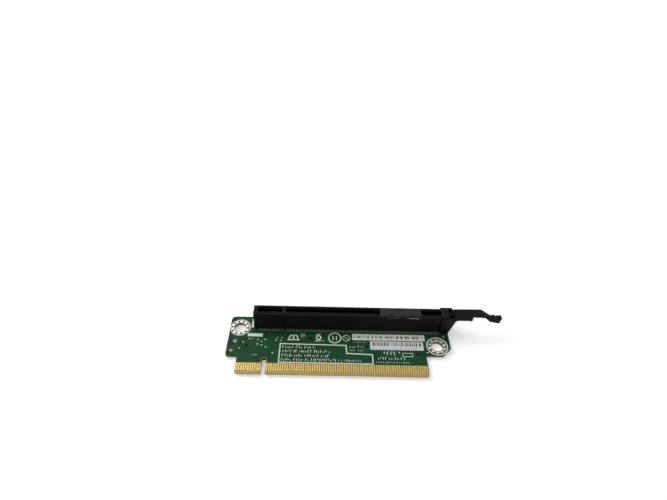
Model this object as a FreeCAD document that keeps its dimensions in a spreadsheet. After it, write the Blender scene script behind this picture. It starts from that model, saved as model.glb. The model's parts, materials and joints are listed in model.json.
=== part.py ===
"""Riser card with an expansion slot: a parametric FreeCAD document, in millimetres.

The card lies flat. X runs along the slot, Y from the card edge to the back, Z up.
The origin is the left mounting hole's axis at the board's underside.
"""
import FreeCAD, Part

import math
import os

import Sketcher

V = FreeCAD.Vector

# Driving sizes, in millimetres (counts are plain numbers).
SIZES = {
    # circuit board
    "thickness": 1.57,
    "copper": 0.05,
    "board_left": 4.73,
    "board_right": 96.77,
    "board_back": 6.55,
    "tongue_front": 24.5,
    "left_shoulder": 15.5,
    "right_shoulder": 13.45,
    "tongue_left": 0.62,
    "tongue_width": 84.4,
    "corner_round": 1.7,
    "shoulder_chamfer": 0.8,
    "ear_cut": 4.0,
    "tongue_corner": 0.7,
    "key_width": 1.9,
    "key_depth": 7.7,
    "bevel_length": 1.1,
    "bevel_depth": 0.35,
    # card-edge fingers
    "finger_first": 1.27,
    "pitch": 1.0,
    "short_count": 11,
    "long_count": 71,
    "bay_step": 3.0,
    "finger_width": 0.7,
    "finger_start": 1.15,
    "finger_end": 5.2,
    # mounting holes
    "hole_radius": 2.7,
    "land_setback": 0.2,
    "land_radius": 4.3,
    "right_hole_x": 90.65,
    "right_hole_y": 8.65,
    "petal_count": 10,
    "petal_inner": 2.95,
    "petal_outer": 4.1,
    "petal_angle": 25.0,
    "petal_height": 0.28,
    "petal_draft": 0.22,
    # tooling hole and test pads
    "tooling_radius": 1.05,
    "tooling_x": 1.5,
    "tooling_y": 7.5,
    "test_pad_radius": 0.75,
    "left_pad_x": 2.45,
    "left_pad_y": 13.0,
    "right_pad_x": 94.45,
    "right_pad_y": 3.15,
    # slot housing
    "slot_first": 8.97,
    "slot_centre": 2.5,
    "housing_margin": 2.4,
    "housing_width": 5.6,
    "housing_height": 10.15,
    "standoff": 0.45,
    "top_chamfer": 0.35,
    "slot_width": 1.8,
    "slot_floor": 2.4,
    "slot_end_gap": 0.75,
    "cavity_width": 0.66,
    "cavity_depth": 1.0,
    "foot_length": 1.2,
    "peg_radius": 0.7,
    "peg_length": 1.2,
    "peg_clearance": 0.05,
    # contacts
    "contact_width": 0.5,
    "contact_gauge": 0.2,
    "tail_reach": 0.95,
    "riser_offset": 1.5,
    "elbow_height": 5.2,
    "nose_height": 7.6,
    "nose_offset": 0.65,
    # end block and latch
    "end_wall": 1.35,
    "cheek_half": 3.75,
    "cheek_gauge": 1.0,
    "cheek_length": 3.85,
    "cheek_lean": 1.75,
    "cheek_lean_height": 6.4,
    "cheek_height": 9.7,
    "bridge_length": 2.1,
    "bridge_floor": 4.3,
    "pivot_setback": 1.6,
    "pivot_height": 2.05,
    "boss_radius": 0.9,
    "boss_length": 0.8,
    "boss_clearance": 0.05,
    "hub_side_gap": 0.25,
    "hub_back": 1.2,
    "hub_bottom": 1.0,
    "hub_step": 1.5,
    "wall_offset": 2.0,
    "wall_gauge": 1.5,
    "wall_height": 9.9,
    "arm_gauge": 1.8,
    "arm_top": 12.05,
    "arm_rise": 0.25,
    "arm_inner_depth": 6.05,
    "arm_outer_depth": 3.7,
    "arm_step": 11.9,
    "arm_bend": 14.9,
    "pad_start": 20.2,
    "pad_end": 25.3,
    "pad_top": 8.45,
    "pad_depth": 3.45,
    "pad_crest": 0.65,
    "pad_dip": 2.2,
    "nose_reach": 1.0,
    "nose_depth": 1.3,
    # hold-down
    "tab_gauge": 0.25,
    "tab_length": 1.5,
    "tab_width": 5.0,
    "tab_rise": 2.2,
    # film and label
    "film_gauge": 0.1,
    "film_start": 64.5,
    "film_length": 18.7,
    "film_flap": 1.1,
    "label_gauge": 0.08,
    "label_x": 60.05,
    "label_y": 11.2,
    "label_length": 24.2,
    "label_width": 4.65,
}

# Flats round a land's rim.
LAND_SIDES = 20


def cell(name):
    """Value of one driving size, read back from the sheet."""
    return float(sheet.get(name))


def bind(thing, **links):
    """Bind properties of an object to expressions; double underscores stand for dots."""
    for prop, expression in links.items():
        thing.setExpression(prop.replace("__", "."), expression)


def make_sheet(doc):
    """Keep every driving size in a cell with an alias."""
    table = doc.addObject("Spreadsheet::Sheet", "Sizes")
    for row, (name, value) in enumerate(SIZES.items(), start=1):
        table.set(f"A{row}", name)
        table.set(f"B{row}", str(value))
        table.setAlias(f"B{row}", name)
    doc.recompute()
    return table


def s(text):
    """Expression in which every driving size named in the text reads its cell."""
    words = []
    word = ""
    for sign in text + " ":
        if sign.isalnum() or sign == "_":
            word += sign
            continue
        words.append(f"Sizes.{word}" if word in SIZES else word)
        words.append(sign)
        word = ""
    return "".join(words).strip()


def plane(body, role):
    """One of a body's own origin planes or axes."""
    return next(o for o in body.Origin.OriginFeatures if o.Role == role)


def new_sketch(body, name, role, offset="0"):
    """Sketch on an origin plane, moved along that plane's normal by an expression."""
    sketch = body.newObject("Sketcher::SketchObject", name)
    sketch.AttachmentSupport = [(plane(body, role), "")]
    sketch.MapMode = "FlatFace"
    bind(sketch, AttachmentOffset__Base__z=s(offset))
    return sketch


def pin_point(sketch, edge, end, across, up):
    """Tie a sketch point to two expressions, measured from the sketch's origin."""
    for kind, text in (("DistanceX", across), ("DistanceY", up)):
        point = sketch.getPoint(edge, end)
        value = point.x if kind == "DistanceX" else point.y
        index = sketch.addConstraint(Sketcher.Constraint(kind, -1, 1, edge, end, value))
        sketch.setExpression(f"Constraints[{index}]", s(text))


def number(text):
    """Value of an expression of driving sizes."""
    return float(sheet.evalExpression(s(text).replace("Sizes.", "")))


def polygon(sketch, corners):
    """Closed outline whose corners are pairs of expressions."""
    spots = [V(number(x), number(y), 0) for x, y in corners]
    first = sketch.GeometryCount
    count = len(spots)
    for i in range(count):
        sketch.addGeometry(Part.LineSegment(spots[i], spots[(i + 1) % count]), False)
    for i in range(count):
        after = first + (i + 1) % count
        sketch.addConstraint(Sketcher.Constraint("Coincident", first + i, 2, after, 1))
    for i, (x, y) in enumerate(corners):
        pin_point(sketch, first + i, 1, x, y)


def rectangle(sketch, left, low, right, high):
    """Rectangle between four expressions."""
    polygon(sketch, ((left, low), (right, low), (right, high), (left, high)))


def circle(sketch, x, y, radius):
    """Circle whose centre and radius are expressions."""
    centre = V(number(x), number(y), 0)
    edge = sketch.addGeometry(Part.Circle(centre, V(0, 0, 1), number(radius)), False)
    pin_point(sketch, edge, 3, x, y)
    index = sketch.addConstraint(Sketcher.Constraint("Radius", edge, number(radius)))
    sketch.setExpression(f"Constraints[{index}]", s(radius))


def pad(body, name, sketch, length, side="One side", reverse=False):
    """Pad of a sketch."""
    feature = body.newObject("PartDesign::Pad", name)
    feature.Profile = sketch
    feature.SideType = side
    feature.Reversed = reverse
    bind(feature, Length=s(length))
    return feature


def pocket(body, name, sketch, length, side="One side", reverse=False):
    """Pocket of a sketch: it cuts against the sketch's normal unless reversed."""
    feature = body.newObject("PartDesign::Pocket", name)
    feature.Profile = sketch
    feature.SideType = side
    feature.Reversed = reverse
    bind(feature, Length=s(length))
    return feature


def repeat_x(body, name, feature, count):
    """Row of copies of a feature along X, one pitch apart."""
    row = body.newObject("PartDesign::LinearPattern", name)
    row.Originals = [feature]
    row.Direction = (plane(body, "X_Axis"), [""])
    row.Mode = "Spacing"
    bind(row, Offset=s("pitch"), Occurrences=s(count))
    body.Tip = row
    return row


def unit_rim(sides=12):
    """Corners of a small round outline of radius 1, drawn with flats to save faces."""
    turns = [2 * math.pi * i / sides for i in range(sides)]
    return [(math.cos(turn), math.sin(turn)) for turn in turns]


def slot_positions(first):
    """X of the 11 + 71 places that the card edge and the slot share, from the first one."""
    step = cell("pitch")
    short = int(cell("short_count"))
    places = [first + i * step for i in range(short)]
    start = first + (short - 1) * step + cell("bay_step")
    places += [start + i * step for i in range(int(cell("long_count")))]
    return places


def key_centre(first):
    """Expression for the middle of the gap between the two bays."""
    return f"{first} + (short_count - 1) * pitch + bay_step / 2"


def last_place(first):
    """Expression for the last place of the long bay."""
    return f"{first} + (short_count + long_count - 2) * pitch + bay_step"


def make_board(doc):
    """Circuit board: ears, tongue with key notch and bevel, recesses for copper, holes."""
    body = doc.addObject("PartDesign::Body", "CircuitBoard")
    outline = new_sketch(body, "BoardOutline", "XY_Plane")
    tongue_right = "tongue_left + tongue_width"
    polygon(outline, (
        ("-board_left", "board_back - corner_round"),
        ("-board_left", "-left_shoulder + shoulder_chamfer"),
        ("-board_left + shoulder_chamfer", "-left_shoulder"),
        ("tongue_left", "-left_shoulder"),
        ("tongue_left", "-tongue_front + tongue_corner"),
        ("tongue_left + tongue_corner", "-tongue_front"),
        (f"{tongue_right} - tongue_corner", "-tongue_front"),
        (tongue_right, "-tongue_front + tongue_corner"),
        (tongue_right, "-right_shoulder"),
        ("board_right - ear_cut", "-right_shoulder"),
        ("board_right", "-right_shoulder + ear_cut"),
        ("board_right", "board_back - corner_round"),
        ("board_right - corner_round * 0.3", "board_back - corner_round * 0.3"),
        ("board_right - corner_round", "board_back"),
        ("-board_left + corner_round", "board_back"),
        ("-board_left + corner_round * 0.3", "board_back - corner_round * 0.3"),
    ))
    pad(body, "BoardSheet", outline, "thickness")

    notch = new_sketch(body, "KeyNotchOutline", "XY_Plane", "thickness")
    middle = key_centre("finger_first")
    notch_top = "-tongue_front + key_depth"
    rectangle(notch, f"{middle} - key_width / 2", "-tongue_front - 1",
              f"{middle} + key_width / 2", f"{notch_top} - key_width / 2")
    pocket(body, "KeyNotch", notch, "thickness")
    notch_end = new_sketch(body, "KeyNotchEndOutline", "XY_Plane", "thickness")
    circle(notch_end, middle, f"{notch_top} - key_width / 2", "key_width / 2")
    pocket(body, "KeyNotchEnd", notch_end, "thickness")

    for side, height, flip in (("Top", "thickness", False), ("Under", "0", True)):
        bare = new_sketch(body, f"BareTongue{side}Outline", "XY_Plane", height)
        rectangle(bare, "tongue_left - 1", "-tongue_front - 1",
                  f"{tongue_right} + 1", "-tongue_front + finger_end")
        pocket(body, f"BareTongue{side}", bare, "copper", reverse=flip)

    bevel = new_sketch(body, "BevelOutline", "YZ_Plane", "tongue_left - 1")
    for low, high in (("copper", "copper + bevel_depth"),
                      ("thickness - copper", "thickness - copper - bevel_depth")):
        polygon(bevel, (("-tongue_front", low), ("-tongue_front + bevel_length", low),
                        ("-tongue_front", high)))
    pocket(body, "Bevel", bevel, "tongue_width + 2", reverse=True)

    holes = new_sketch(body, "HoleOutlines", "XY_Plane", "thickness")
    circle(holes, "0", "0", "hole_radius")
    circle(holes, "right_hole_x", "-right_hole_y", "hole_radius")
    circle(holes, "-tooling_x", "-tooling_y", "tooling_radius")
    for x in (key_centre("slot_first"), peg_x_end()):
        circle(holes, x, "slot_centre", "peg_radius + peg_clearance")
    pocket(body, "Holes", holes, "thickness")
    return body


def peg_x_end():
    """Expression for the X of the peg under the end block."""
    return f"{last_place('slot_first')} + slot_end_gap + end_wall / 2"


def make_housing(doc):
    """Slot housing: moulding with card slot, cavities, feet, pegs and latch cheeks."""
    body = doc.addObject("PartDesign::Body", "SlotHousing")
    top = "thickness + housing_height"
    left = "slot_first - housing_margin"
    last = last_place("slot_first")
    end_start = f"{last} + slot_end_gap"
    bay_start = f"{end_start} + end_wall"

    base = new_sketch(body, "HousingOutline", "XY_Plane", "thickness + standoff")
    rectangle(base, left, "slot_centre - housing_width / 2",
              bay_start, "slot_centre + housing_width / 2")
    bar = pad(body, "HousingBar", base, "housing_height - standoff")
    doc.recompute()
    crest = [f"Edge{i + 1}" for i, e in enumerate(bar.Shape.Edges)
             if e.BoundBox.ZMin > number(top) - 0.001 and e.BoundBox.XLength > 1]
    chamfer = body.newObject("PartDesign::Chamfer", "TopChamfer")
    chamfer.Base = (bar, crest)
    bind(chamfer, Size=s("top_chamfer"))

    # The block's side view runs from the slot's end to the leaning ends of the cheeks.
    block = new_sketch(body, "EndBlockOutline", "XZ_Plane", "-slot_centre")
    polygon(block, (
        (end_start, "thickness"),
        (f"{end_start} + cheek_length", "thickness"),
        (f"{end_start} + cheek_length + cheek_lean", "thickness + cheek_lean_height"),
        (f"{end_start} + cheek_length + cheek_lean", "thickness + cheek_height"),
        (end_start, "thickness + cheek_height"),
    ))
    pad(body, "EndBlock", block, "cheek_half * 2", side="Symmetric")
    bridge = new_sketch(body, "BridgeOutline", "XZ_Plane", "-slot_centre")
    rectangle(bridge, end_start, "thickness + bridge_floor",
              f"{bay_start} + bridge_length", top)
    pad(body, "Bridge", bridge, "housing_width", side="Symmetric")

    bay = new_sketch(body, "LatchBayOutline", "XZ_Plane", "-slot_centre")
    polygon(bay, (
        (bay_start, "thickness - 1"),
        (f"{bay_start} + 20", "thickness - 1"),
        (f"{bay_start} + 20", f"{top} + 1"),
        (f"{bay_start} + bridge_length", f"{top} + 1"),
        (f"{bay_start} + bridge_length", "thickness + bridge_floor"),
        (bay_start, "thickness + bridge_floor"),
    ))
    pocket(body, "LatchBay", bay, "(cheek_half - cheek_gauge) * 2", side="Symmetric")
    bores = new_sketch(body, "HingeBoreOutline", "XZ_Plane", "-slot_centre")
    circle(bores, pivot_x(), pivot_z(), "boss_radius + boss_clearance")
    pocket(body, "HingeBores", bores, "cheek_half * 2 + 2", side="Symmetric")

    # Feet stand on the board; each of the two pegs goes into its hole.
    key = key_centre("slot_first")
    feet = new_sketch(body, "FootOutlines", "XY_Plane", "thickness")
    for start, end in ((left, f"{left} + foot_length"),
                       (f"{key} - foot_length / 2", f"{key} + foot_length / 2")):
        rectangle(feet, start, "slot_centre - housing_width / 2",
                  end, "slot_centre + housing_width / 2")
    pad(body, "Feet", feet, "standoff")
    pegs = new_sketch(body, "PegOutlines", "XY_Plane", "thickness")
    for x in (key, peg_x_end()):
        polygon(pegs, [(f"{x} + peg_radius * {across:.6f}", f"slot_centre + peg_radius * {up:.6f}")
                       for across, up in unit_rim()])
    pad(body, "Pegs", pegs, "peg_length", reverse=True)

    # The card slot stops on both sides of the key rib.
    mouth = new_sketch(body, "CardSlotOutline", "XY_Plane", top)
    half_rib = "(bay_step / 2 - slot_end_gap)"
    slot_low = "slot_centre - slot_width / 2"
    slot_high = "slot_centre + slot_width / 2"
    rectangle(mouth, "slot_first - slot_end_gap", slot_low, f"{key} - {half_rib}", slot_high)
    rectangle(mouth, f"{key} + {half_rib}", slot_low, end_start, slot_high)
    pocket(body, "CardSlot", mouth, "housing_height - slot_floor")

    # Each cavity runs right through under both walls; the ribs left between are the floor.
    reach = "(slot_width / 2 + cavity_depth)"
    for bay_name, first, count in (
            ("Short", "slot_first", "short_count"),
            ("Long", "slot_first + (short_count - 1) * pitch + bay_step", "long_count")):
        hollow = new_sketch(body, f"{bay_name}CavityOutline", "XY_Plane", top)
        rectangle(hollow, f"{first} - cavity_width / 2", f"slot_centre - {reach}",
                  f"{first} + cavity_width / 2", f"slot_centre + {reach}")
        cut = pocket(body, f"{bay_name}Cavity", hollow, "housing_height")
        repeat_x(body, f"{bay_name}Cavities", cut, count)
    return body


def pivot_x():
    """Expression for the X of the latch's hinge axis."""
    return f"{last_place('slot_first')} + slot_end_gap + end_wall + pivot_setback"


def pivot_z():
    """Expression for the height of the latch's hinge axis."""
    return "thickness + pivot_height"


def make_latch(doc):
    """Retention latch: hub with hinge bosses, upright wall, nose, arm and thumb pad."""
    body = doc.addObject("PartDesign::Body", "RetentionLatch")
    px = pivot_x()
    foot = pivot_z()
    wall_in = f"{px} + wall_offset"
    wall_out = f"{wall_in} + wall_gauge"
    wall_top = "thickness + wall_height"
    hub = new_sketch(body, "HubOutline", "XZ_Plane", "-slot_centre")
    polygon(hub, (
        (f"{px} - hub_back", f"{foot} - hub_bottom"),
        (f"{px} + hub_bottom", f"{foot} - hub_bottom"),
        (f"{px} + hub_back + hub_bottom", f"{foot} + hub_step / 4"),
        (wall_out, f"{foot} + hub_step * 2.5"),
        (wall_out, wall_top),
        (wall_in, wall_top),
        (wall_in, f"{foot} + hub_step * 2"),
        (f"{px} + hub_back", f"{foot} + hub_step"),
        (f"{px} - hub_back", f"{foot} + hub_step"),
    ))
    hub_width = "(cheek_half - cheek_gauge - hub_side_gap) * 2"
    pad(body, "Hub", hub, hub_width, side="Symmetric")

    arm = new_sketch(body, "ArmOutline", "XZ_Plane", "-slot_centre")
    crown = "thickness + arm_top"
    outer = f"{crown} + arm_rise"
    root = f"{wall_in} + wall_gauge / 4"
    polygon(arm, (
        (root, crown),
        (root, f"{crown} - arm_inner_depth"),
        (f"{wall_out} - wall_gauge / 4", f"{crown} - arm_inner_depth - wall_gauge * 1.5"),
        (f"{wall_out} + wall_gauge / 4", f"{crown} - arm_inner_depth - wall_gauge"),
        (f"{wall_out} + wall_gauge * 0.8", f"{crown} - arm_inner_depth - wall_gauge / 3"),
        (f"{wall_out} + wall_gauge * 1.5", f"{crown} - arm_inner_depth"),
        (f"{px} + arm_step - wall_gauge", f"{crown} - arm_inner_depth"),
        (f"{px} + arm_step", f"{crown} - arm_inner_depth - arm_rise"),
        (f"{px} + arm_step + arm_rise", f"{outer} - arm_outer_depth"),
        (f"{px} + (arm_bend + pad_start) / 2", f"{outer} - arm_outer_depth - arm_rise"),
        (f"{px} + pad_start", "thickness + pad_top - pad_depth + arm_rise * 3"),
        (f"{px} + pad_end - arm_rise * 2", "thickness + pad_top - pad_depth - arm_rise"),
        (f"{px} + pad_end", "thickness + pad_top - arm_rise"),
        (f"{px} + pad_end - arm_rise", "thickness + pad_top + arm_rise / 2"),
        (f"{px} + pad_end - arm_rise * 5", "thickness + pad_top + arm_rise / 2"),
        (f"{px} + pad_start + pad_dip", "thickness + pad_top - arm_rise"),
        (f"{px} + pad_start + pad_dip / 2", "thickness + pad_top + pad_crest"),
        (f"{px} + pad_start", "thickness + pad_top"),
        (f"{px} + arm_bend", outer),
    ))
    pad(body, "Arm", arm, "arm_gauge", side="Symmetric")

    nose = new_sketch(body, "NoseOutline", "XZ_Plane", "-slot_centre")
    nose_tip = f"{wall_in} - nose_reach"
    polygon(nose, (
        (root, wall_top),
        (f"{wall_in}", wall_top),
        (nose_tip, f"{wall_top} - nose_depth / 2"),
        (nose_tip, f"{wall_top} - nose_depth"),
        (root, f"{wall_top} - nose_depth"),
    ))
    pad(body, "Nose", nose, "arm_gauge", side="Symmetric")

    bosses = new_sketch(body, "BossOutline", "XZ_Plane", "-slot_centre")
    circle(bosses, px, foot, "boss_radius")
    pad(body, "HingeBosses", bosses, f"{hub_width} + (hub_side_gap + boss_length) * 2",
        side="Symmetric")
    return body


def contact_outline(mirror):
    """Side view of one contact: tail on the board, riser, and spring tapering to its nose."""
    gauge = cell("contact_gauge")
    base = cell("thickness")
    tail_end = cell("housing_width") / 2 + cell("tail_reach")
    inner = cell("riser_offset") - gauge / 2
    outer = cell("riser_offset") + gauge / 2
    elbow = base + cell("elbow_height")
    loop = (
        (tail_end, base),
        (tail_end, base + gauge),
        (outer, base + gauge),
        (outer, elbow + gauge),
        (cell("nose_offset"), base + cell("nose_height")),
        (inner, elbow),
        (inner, base),
    )
    centre = cell("slot_centre")
    return [V(0, centre + mirror * y, z) for y, z in loop]


def make_contacts(doc, name, mirror):
    """One row of bent contact strips."""
    loop = contact_outline(mirror)
    width = cell("contact_width")
    strip = Part.Face(Part.makePolygon(loop + loop[:1])).extrude(V(width, 0, 0))
    row = [strip.translated(V(x - width / 2, 0, 0)) for x in slot_positions(cell("slot_first"))]
    feature = doc.addObject("Part::Feature", name)
    feature.Shape = Part.makeCompound(row)
    return feature


def make_fingers(doc, name, height):
    """One side's row of edge fingers, at a height."""
    width = cell("finger_width")
    start = -cell("tongue_front") + cell("finger_start")
    length = cell("finger_end") - cell("finger_start")
    row = [Part.makeBox(width, length, cell("copper"), V(x - width / 2, start, height))
           for x in slot_positions(cell("finger_first"))]
    feature = doc.addObject("Part::Feature", name)
    feature.Shape = Part.makeCompound(row)
    return feature


def make_land(doc, name, x, y):
    """Bare copper land round a mounting hole, on the board's upper face."""
    discs = []
    for radius in (cell("land_radius"), cell("hole_radius") + cell("land_setback")):
        rim = [V(number(x) + radius * across, number(y) + radius * up, cell("thickness"))
               for across, up in unit_rim(LAND_SIDES)]
        discs.append(Part.Face(Part.makePolygon(rim + rim[:1])).extrude(V(0, 0, cell("copper"))))
    feature = doc.addObject("Part::Feature", name)
    feature.Shape = discs[0].cut(discs[1])
    return feature


def make_petals(doc, name, x, y):
    """Ring of separate solder bumps on a mounting hole's top land."""
    count = int(cell("petal_count"))
    base = cell("thickness") + cell("copper")
    draft = cell("petal_draft")
    half = math.radians(cell("petal_angle") / 2)

    inner, outer = cell("petal_inner"), cell("petal_outer")
    foot = [V(radius * math.cos(turn), radius * math.sin(turn), base)
            for radius, turn in ((inner, -half), (inner, half), (outer, half),
                                 (outer * 1.02, 0), (outer, -half))]
    # The crown is the foot drawn in towards its middle, so that every flank is flat.
    middle = V((inner + outer) / 2, 0, base)
    shrink = 1 - 2 * draft / (outer - inner)
    rise = V(0, 0, cell("petal_height"))
    crown = [middle + (spot - middle) * shrink + rise for spot in foot]
    walls = [Part.Face(Part.makePolygon([foot[i - 1], foot[i], crown[i], crown[i - 1], foot[i - 1]]))
             for i in range(len(foot))]
    caps = [Part.Face(Part.makePolygon(rim + rim[:1])) for rim in (foot, crown)]
    bump = Part.makeSolid(Part.makeShell(walls + caps))
    ring = []
    for i in range(count):
        copy = bump.copy()
        copy.rotate(V(0, 0, 0), V(0, 0, 1), 360.0 / count * (i + 0.4))
        ring.append(copy.translated(V(number(x), number(y), 0)))
    feature = doc.addObject("Part::Feature", name)
    feature.Shape = Part.makeCompound(ring)
    return feature


def make_test_pads(doc):
    """Two bare copper dots on the ears, as thin twelve-sided plates."""
    radius = cell("test_pad_radius")
    rim = [V(radius * across, radius * up, 0) for across, up in unit_rim()]
    dot = Part.Face(Part.makePolygon(rim + rim[:1])).extrude(V(0, 0, cell("copper")))
    spots = (("-left_pad_x", "-left_pad_y"), ("right_pad_x", "-right_pad_y"))
    feature = doc.addObject("Part::Feature", "TestPads")
    feature.Shape = Part.makeCompound([
        dot.translated(V(number(x), number(y), cell("thickness"))) for x, y in spots])
    return feature


def make_hold_down(doc):
    """Bent metal tab at the slot's left end: a foot on the board and an upright leaf."""
    body = doc.addObject("PartDesign::Body", "HoldDown")
    left = "slot_first - housing_margin"
    side = new_sketch(body, "TabOutline", "XZ_Plane", "-slot_centre")
    polygon(side, (
        (f"{left} - tab_length", "thickness"),
        (left, "thickness"),
        (left, "thickness + tab_rise"),
        (f"{left} - tab_gauge", "thickness + tab_rise"),
        (f"{left} - tab_gauge", "thickness + tab_gauge"),
        (f"{left} - tab_length", "thickness + tab_gauge"),
    ))
    pad(body, "Tab", side, "tab_width", side="Symmetric")
    return body


def make_film(doc):
    """Pick-up film: it lies across the slot's mouth and folds over the front edge."""
    body = doc.addObject("PartDesign::Body", "PickUpFilm")
    top = "thickness + housing_height"
    front = "slot_centre - housing_width / 2"
    section = new_sketch(body, "FilmSection", "YZ_Plane", "film_start")
    polygon(section, (
        ("slot_centre + housing_width / 2 - top_chamfer", top),
        ("slot_centre + housing_width / 2 - top_chamfer", f"{top} + film_gauge"),
        (f"{front} + top_chamfer - film_gauge / 2", f"{top} + film_gauge"),
        (f"{front} - film_gauge", f"{top} - top_chamfer + film_gauge / 2"),
        (f"{front} - film_gauge", f"{top} - top_chamfer - film_flap"),
        (front, f"{top} - top_chamfer - film_flap"),
        (front, f"{top} - top_chamfer"),
        (f"{front} + top_chamfer", top),
    ))
    pad(body, "Film", section, "film_length")
    return body


def make_label(doc):
    """Paper label stuck on the board."""
    label = doc.addObject("Part::Box", "BarcodeLabel")
    bind(label, Length=s("label_length"), Width=s("label_width"), Height=s("label_gauge"),
         Placement__Base__x=s("label_x"), Placement__Base__y=s("-label_y"),
         Placement__Base__z=s("thickness"))
    return label


doc = FreeCAD.newDocument("riser_card")
sheet = make_sheet(doc)
parts = {
    "circuit_board": make_board(doc),
    "slot_housing": make_housing(doc),
    "retention_latch": make_latch(doc),
    "front_contacts": make_contacts(doc, "FrontContacts", -1),
    "rear_contacts": make_contacts(doc, "RearContacts", 1),
    "edge_fingers_front": make_fingers(doc, "EdgeFingersFront",
                                       cell("thickness") - cell("copper")),
    "edge_fingers_back": make_fingers(doc, "EdgeFingersBack", 0.0),
    "left_hole_land": make_land(doc, "LeftHoleLand", "0", "0"),
    "right_hole_land": make_land(doc, "RightHoleLand", "right_hole_x", "-right_hole_y"),
    "left_hole_solder": make_petals(doc, "LeftHoleSolder", "0", "0"),
    "right_hole_solder": make_petals(doc, "RightHoleSolder", "right_hole_x", "-right_hole_y"),
    "test_pads": make_test_pads(doc),
    "hold_down_tab": make_hold_down(doc),
    "pick_up_film": make_film(doc),
    "barcode_label": make_label(doc),
}
doc.recompute()

for thing in doc.Objects:
    faults = [word for word in thing.State if word in ("Invalid", "Error")]
    if faults:
        raise RuntimeError(f"{thing.Name} is {faults}")

os.makedirs("parts", exist_ok=True)
for node, thing in parts.items():
    thing.Label = node
    if thing.Shape.isNull() or not thing.Shape.isValid():
        raise RuntimeError(f"{node} has no valid shape")
    thing.Shape.exportStep(f"parts/{node}.step")
    box = thing.Shape.BoundBox
    print(f"{node}: {len(thing.Shape.Solids)} solids, {thing.Shape.Volume:.2f} mm3, "
          f"x {box.XMin:.2f}..{box.XMax:.2f} y {box.YMin:.2f}..{box.YMax:.2f} "
          f"z {box.ZMin:.2f}..{box.ZMax:.2f}")
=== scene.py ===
"""Visual model of a riser card with an upright expansion slot and a hinged retention latch.

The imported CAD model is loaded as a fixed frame. Every piece built here is in the same frame: X
runs along the slot, Y from the card edge to the back, Z up from the board's underside. Sizes in
the dataclasses are in millimetres, apart from the studio's, which are in metres; the mesh
builder turns millimetres into metres.
"""
from __future__ import annotations

import json
import logging
import math
import random
from collections.abc import Callable, Iterable, Iterator, Sequence
from dataclasses import dataclass
from enum import Enum
from typing import NamedTuple

import bmesh
import bpy
from mathutils import Matrix, Vector

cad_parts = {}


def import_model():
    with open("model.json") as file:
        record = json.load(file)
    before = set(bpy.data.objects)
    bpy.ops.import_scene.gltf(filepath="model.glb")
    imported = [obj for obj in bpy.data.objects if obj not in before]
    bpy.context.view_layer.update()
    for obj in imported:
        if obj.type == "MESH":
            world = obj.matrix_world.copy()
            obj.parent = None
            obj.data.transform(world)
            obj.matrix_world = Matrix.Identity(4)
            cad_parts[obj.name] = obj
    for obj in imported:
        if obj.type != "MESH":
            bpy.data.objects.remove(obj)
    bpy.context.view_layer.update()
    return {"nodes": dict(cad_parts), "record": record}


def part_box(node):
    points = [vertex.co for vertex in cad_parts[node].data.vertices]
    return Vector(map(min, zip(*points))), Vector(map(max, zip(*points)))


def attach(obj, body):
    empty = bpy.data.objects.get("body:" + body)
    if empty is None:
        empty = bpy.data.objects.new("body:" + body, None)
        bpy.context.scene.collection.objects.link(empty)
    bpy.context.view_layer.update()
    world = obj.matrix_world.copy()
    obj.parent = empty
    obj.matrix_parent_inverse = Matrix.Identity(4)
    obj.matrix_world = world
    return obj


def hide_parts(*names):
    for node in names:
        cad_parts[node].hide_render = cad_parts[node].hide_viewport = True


log = logging.getLogger("riser_card")

MM = 0.001
SEED_ROWS = 46
SEED_TICKS = 47
SEED_BARS = 48
SHARP_DEGREES = 38.0
CONTACT_WIDTH = 0.5
FINGER_WIDTH = 0.7

Point2 = tuple[float, float]
Point3 = tuple[float, float, float]
Colour = tuple[float, float, float]


class Body(str, Enum):
    """Names of the two CAD bodies that pieces ride on."""

    CARD = "card"
    LATCH = "latch"


@dataclass(frozen=True)
class Blend:
    """Two colours that a pattern moves between."""

    base: Colour
    accent: Colour


@dataclass(frozen=True)
class Finish:
    """Surface finish of one material, with the two colours that its pattern moves between."""

    name: str
    slot: str
    base: Colour
    accent: Colour
    roughness: float
    metallic: float = 0.0
    grain: float = 0.0
    gloss: float = 0.5


MASK = Finish("solder_mask", "board_laminate", (0.0040, 0.0400, 0.0145), (0.0175, 0.0930, 0.0390),
              0.34, grain=0.12, gloss=0.11)
INK = Finish("legend_ink", "board_laminate", (0.78, 0.81, 0.73), (0.46, 0.52, 0.45),
             0.62, grain=0.20, gloss=0.3)
MOULDING = Finish("slot_moulding", "slot_moulding", (0.0028, 0.0028, 0.0031),
                  (0.0080, 0.0078, 0.0084), 0.50, grain=0.30, gloss=0.12)
LATCH = Finish("latch_moulding", "latch_moulding", (0.0020, 0.0018, 0.0024),
               (0.0085, 0.0078, 0.0095), 0.50, grain=0.45, gloss=0.10)
# The contacts' own tin (base) and gilt (accent), with painted shade darkening both for the
# housing's shadow and the dark slot.
CONTACT = Finish("contact_metal", "contact_metal", (0.10, 0.105, 0.10), (0.085, 0.066, 0.048),
                 0.38, metallic=1.0, grain=0.15)
GOLD = Finish("gold_plating", "gold_plating", (0.32, 0.219, 0.057), (0.80, 0.606, 0.210),
              0.34, metallic=1.0, grain=0.18)
TIN = Finish("tinned_copper", "tinned_copper", (0.34, 0.33, 0.30), (0.56, 0.54, 0.50),
             0.38, metallic=1.0, grain=0.35)
SOLDER = Finish("bright_solder", "solder", (0.50, 0.485, 0.46), (0.80, 0.79, 0.765),
                0.26, metallic=1.0, grain=0.40)
WALL = Finish("plated_wall", "tinned_copper", (0.085, 0.062, 0.040), (0.20, 0.15, 0.10),
              0.48, metallic=0.6, grain=0.30)
COPPER = Finish("bare_copper", "bare_copper", (0.30, 0.12, 0.055), (0.52, 0.24, 0.11),
                0.46, metallic=0.6, grain=0.30)
FILM = Finish("clear_film", "clear_film", (0.026, 0.026, 0.027), (0.044, 0.044, 0.045),
              0.36, grain=0.12, gloss=0.25)
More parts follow.
